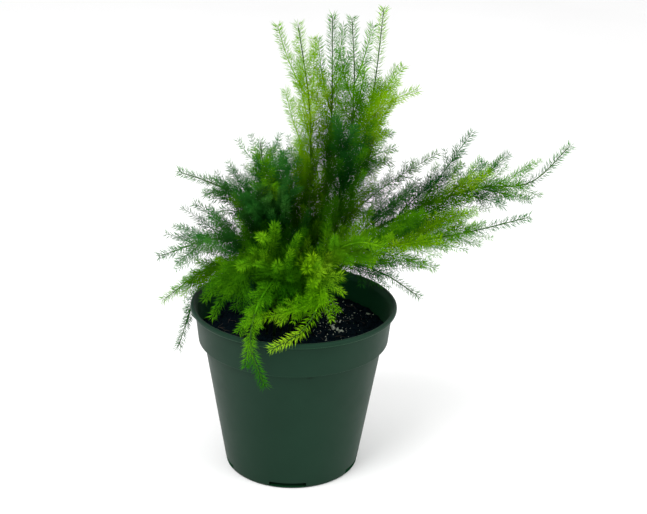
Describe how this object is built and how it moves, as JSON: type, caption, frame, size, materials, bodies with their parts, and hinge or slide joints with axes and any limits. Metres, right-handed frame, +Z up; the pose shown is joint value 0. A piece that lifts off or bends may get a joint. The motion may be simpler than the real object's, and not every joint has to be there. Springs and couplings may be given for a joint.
{
  "type": "potted lace fern",
  "caption": "Lace fern with feathery upright, arching and drooping sprays, standing in potting mix in a round tapered green nursery pot with a rim band and drain slots.",
  "frame": {"origin": "centre of the pot's flat underside, on the surface that the pot stands on", "axes": "+Z up, the long arching spray towards +X, the side that the picture shows towards -Y"},
  "size_m": [0.2038, 0.134, 0.2363],
  "materials": {
    "pot_plastic": "satin",
    "potting_mix": "matte",
    "leaf_young": "satin",
    "leaf_grown": "satin",
    "leaf_old": "satin"
  },
  "bodies": {
    "root": {"pot": "pot_plastic", "soil": "potting_mix", "frond_top_left": "leaf_young", "frond_top_centre": "leaf_grown", "frond_top_right": "leaf_grown", "frond_top_far_right": "leaf_young", "frond_left_bush": "leaf_old", "frond_left_behind": "leaf_grown", "frond_left_high": "leaf_old", "frond_left_middle": "leaf_old", "frond_left_low": "leaf_grown", "frond_left_drop": "leaf_old", "frond_front_left": "leaf_grown", "frond_front_bright": "leaf_young", "frond_front_hanging": "leaf_grown", "frond_front_small": "leaf_grown", "frond_right_main": "leaf_grown", "frond_right_low": "leaf_grown", "frond_right_back": "leaf_old", "frond_front_right": "leaf_grown", "frond_front_tuft": "leaf_grown", "frond_back_left": "leaf_grown", "frond_back_right": "leaf_old", "frond_back_low": "leaf_grown"}
  },
  "joints": []
}
